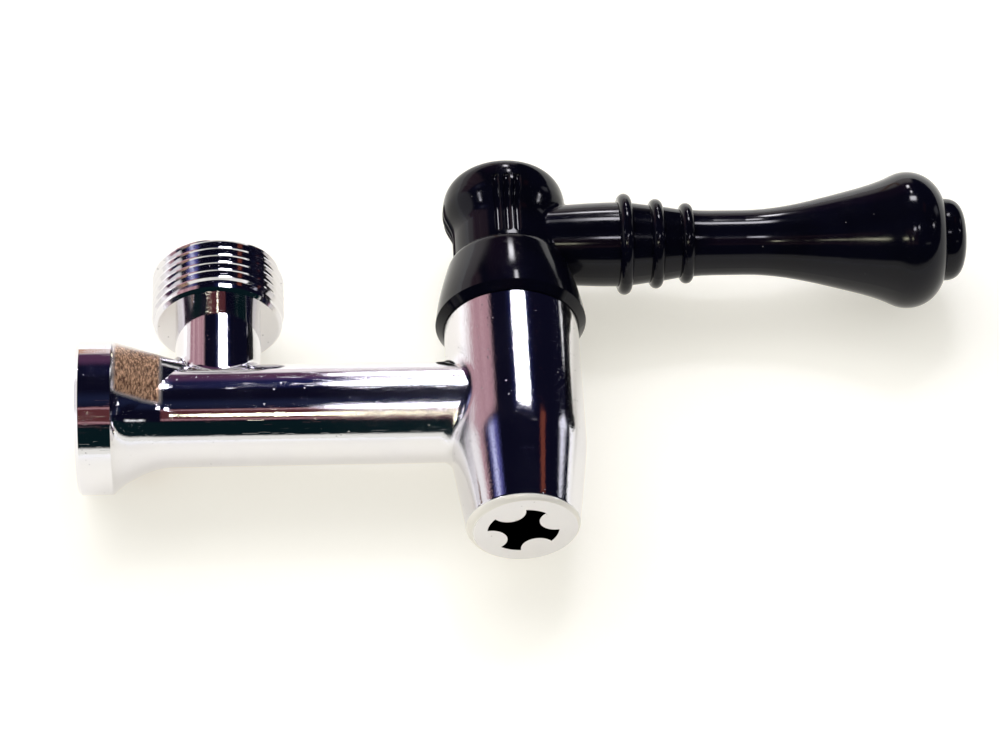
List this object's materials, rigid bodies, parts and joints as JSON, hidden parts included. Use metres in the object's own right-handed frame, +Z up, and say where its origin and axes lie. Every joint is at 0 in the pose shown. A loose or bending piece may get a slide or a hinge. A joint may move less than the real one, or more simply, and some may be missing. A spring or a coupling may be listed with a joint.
{
  "type": "samovar tap",
  "caption": "Chromed samovar tap with a threaded inlet collar, a threaded side branch for a gauge glass, an upright valve barrel with a fluted outlet, and a black lever handle.",
  "frame": {"origin": "centre of the inlet collar's end face", "axes": "+X along the tube from the inlet to the valve, +Z up the valve's axis towards the handle, the spout points down -Z"},
  "size_m": [0.1369, 0.023, 0.0645],
  "materials": {
    "chrome": "bright plating over a cast body",
    "black_plastic": "gloss moulding",
    "brass": "turned",
    "steel": "turned",
    "rubber": "matt",
    "fibre": "matt"
  },
  "bodies": {
    "body": {"tap_body": "chrome", "gland": "brass", "gland_gasket": "fibre"},
    "handle_group": {"handle": "black_plastic", "handle_insert": "brass", "handle_screw": "steel", "spring_washer": "steel", "screw_cover": "black_plastic", "spindle": "brass", "stop_pin": "steel", "spindle_clip": "steel", "thrust_washer": "fibre", "lower_seal_ring": "rubber", "upper_seal_ring": "rubber"},
    "valve": {"valve_carrier": "brass", "seat_washer": "rubber", "washer_retainer": "brass", "washer_screw": "brass"}
  },
  "joints": [
    {"name": "handle_turn", "type": "hinge", "parent": "body", "child": "handle_group", "pos_m": [0.0652, 0, 0], "axis": [0, 0, 1], "range_deg": [0, 90]},
    {"name": "valve_lift", "type": "slide", "parent": "body", "child": "valve", "axis": [0, 0, 1], "range_m": [0, 0.002]}
  ],
  "couplings": [
    {"joint": "valve_lift", "follows": "handle_turn", "m_per_rad": 0.001273}
  ]
}
